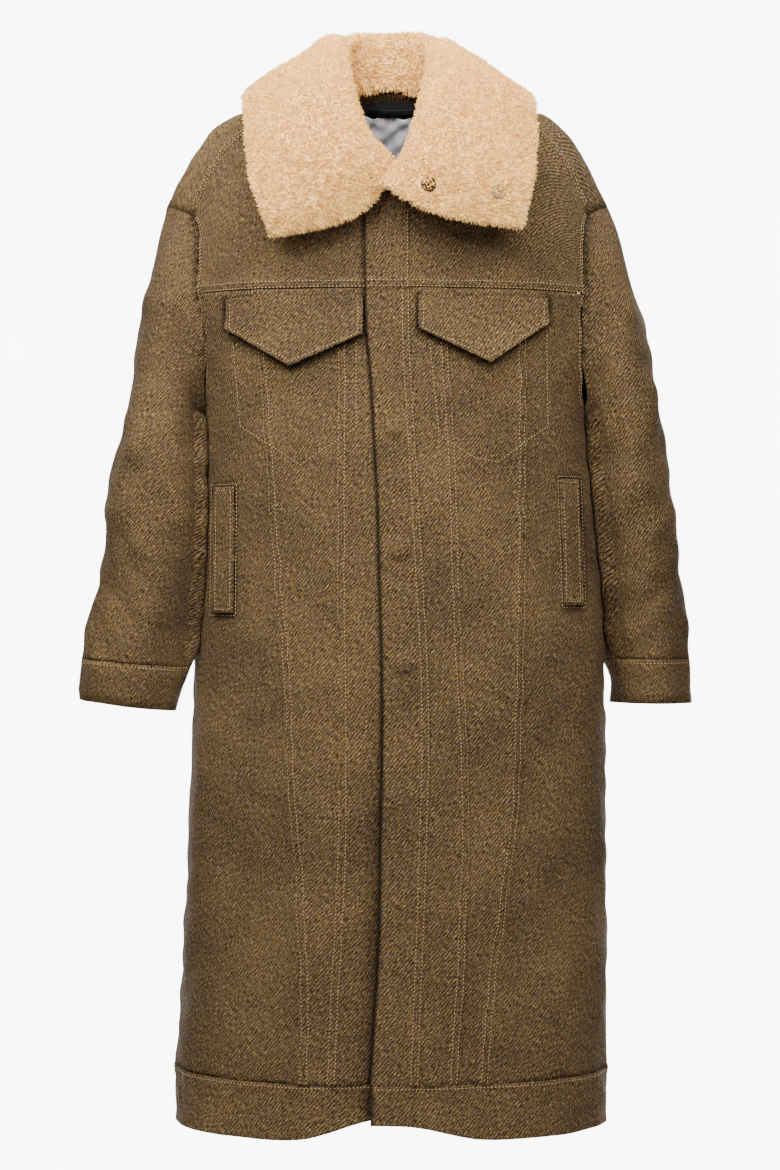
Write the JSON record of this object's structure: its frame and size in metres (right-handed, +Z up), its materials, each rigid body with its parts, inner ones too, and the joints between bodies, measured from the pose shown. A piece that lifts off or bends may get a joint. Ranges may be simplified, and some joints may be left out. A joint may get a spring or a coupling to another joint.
{
  "type": "trucker coat",
  "caption": "Long drop-shoulder trucker coat in brown heather twill with a spread shearling collar, covered front, chest flaps, side welt pockets and a hem band, filled out and hollow",
  "frame": {"origin": "Middle of the neck between the shoulder points, where the wearer's shoulders hold the coat up", "axes": "+Z up along the wearer's back, -Y the way the wearer faces, +X the wearer's left"},
  "size_m": [0.7035, 0.3109, 1.2556],
  "materials": {
    "twill": "heavy wool-blend heather twill, matt, tan over dark brown, with tone-on-tone topstitching",
    "shearling": "clipped cream shearling pile on suede",
    "dark_band": "black grosgrain and faced twill, matt",
    "satin_lining": "silver-grey satin lining, soft sheen, wrinkled",
    "aged_bronze": "dark aged bronze, satin"
  },
  "bodies": {
    "root": {"front_inner_left": "twill", "front_mid_left": "twill", "front_side_left": "twill", "front_side_right": "twill", "front_mid_right": "twill", "front_inner_right": "twill", "placket": "twill", "chest_flap_left": "twill", "chest_flap_right": "twill", "welt_left": "twill", "welt_right": "twill", "front_yoke_left": "twill", "front_yoke_right": "twill", "back_yoke": "twill", "back_panel": "twill", "back_side_left": "twill", "back_side_right": "twill", "hem_band_left": "twill", "hem_band_right": "twill", "hem_band_back": "twill", "sleeve_right_front": "twill", "sleeve_right_back": "twill", "sleeve_left_front": "twill", "sleeve_left_back": "twill", "cuff_right": "twill", "cuff_left": "twill", "collar_right": "shearling", "collar_left": "shearling", "neck_facing": "dark_band", "hanger_loop": "dark_band", "lining_band": "dark_band", "lining_panel": "satin_lining", "snap_ring_inner": "aged_bronze", "snap_ring_outer": "aged_bronze", "snap_pin_inner": "aged_bronze", "snap_pin_outer": "aged_bronze"}
  },
  "joints": []
}
